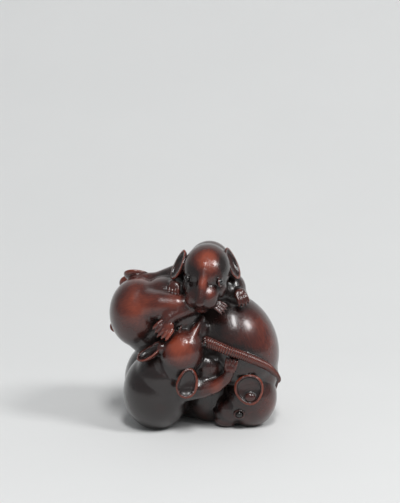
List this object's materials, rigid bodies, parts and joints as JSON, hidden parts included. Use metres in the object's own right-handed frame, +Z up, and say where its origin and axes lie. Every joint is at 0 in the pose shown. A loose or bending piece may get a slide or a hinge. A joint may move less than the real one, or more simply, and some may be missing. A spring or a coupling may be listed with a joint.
{
  "type": "netsuke",
  "caption": "Carved wooden toggle in the form of a huddle of rats with inlaid eyes, bored through the base for a cord and flat underneath so that it stands.",
  "frame": {"origin": "centre of the bounding box, on the surface that the netsuke stands on", "axes": "+Z up, along the tallest way of the carving; -Y is the front, which the top rat faces; +X is to its right as seen from the front"},
  "size_m": [0.0358, 0.0308, 0.0388],
  "materials": {
    "stained_boxwood": "stained and polished boxwood, red-brown where it is worn and near black in the recesses",
    "black_horn": "polished black horn"
  },
  "bodies": {
    "root": {"rat_huddle": "stained_boxwood", "eye_top_rat_left": "black_horn", "eye_top_rat_right": "black_horn", "eye_low_rat_left": "black_horn", "eye_low_rat_right": "black_horn", "eye_left_rat_left": "black_horn", "eye_left_rat_right": "black_horn", "eye_right_rat_near": "black_horn", "eye_right_rat_far": "black_horn"}
  },
  "joints": []
}
